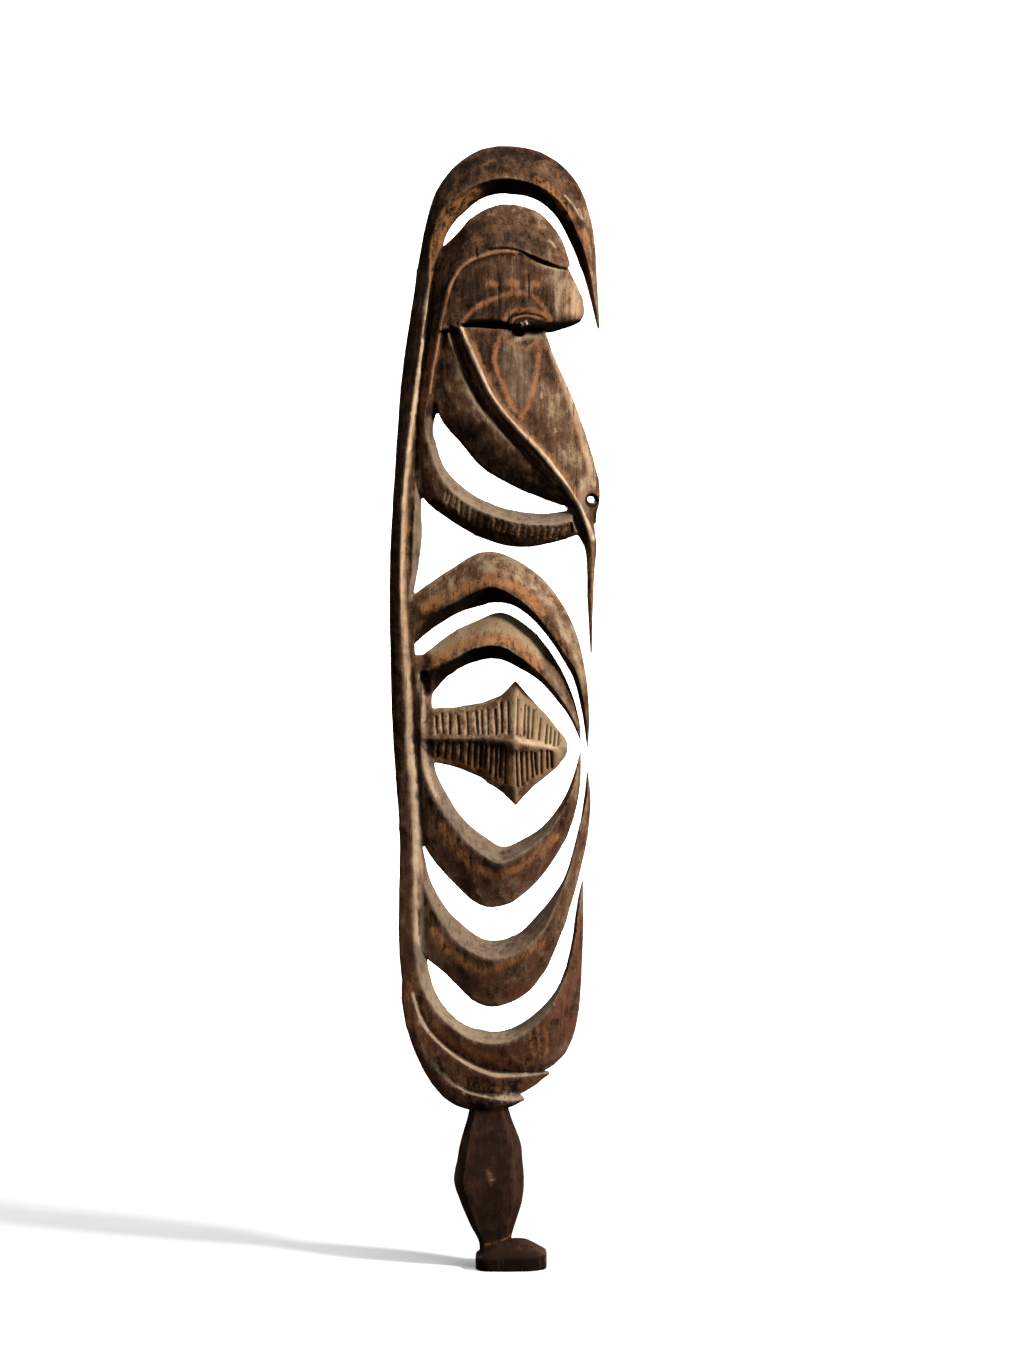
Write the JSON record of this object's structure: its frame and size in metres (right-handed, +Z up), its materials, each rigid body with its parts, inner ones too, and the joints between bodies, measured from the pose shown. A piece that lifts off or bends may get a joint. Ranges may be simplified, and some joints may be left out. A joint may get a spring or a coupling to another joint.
{
  "type": "yimam hook figure",
  "caption": "Tall flat wooden spirit figure in profile: a long back hooks over a beaked head, curved hooks face each other round a fluted diamond, and a short leg stands on its own foot.",
  "frame": {"origin": "middle of the foot's flat underside, in the plane that the two carved sides mirror each other in", "axes": "+Z up, +X towards the face and the hooks' tips, -Y out of the side that the picture shows"},
  "size_m": [0.2801, 0.108, 1.492],
  "materials": {
    "wood": "hand-carved hardwood, dark brown with a grey-tan patina, red-brown low parts and worn ochre lines"
  },
  "bodies": {
    "root": {"figure": "wood"}
  },
  "joints": []
}
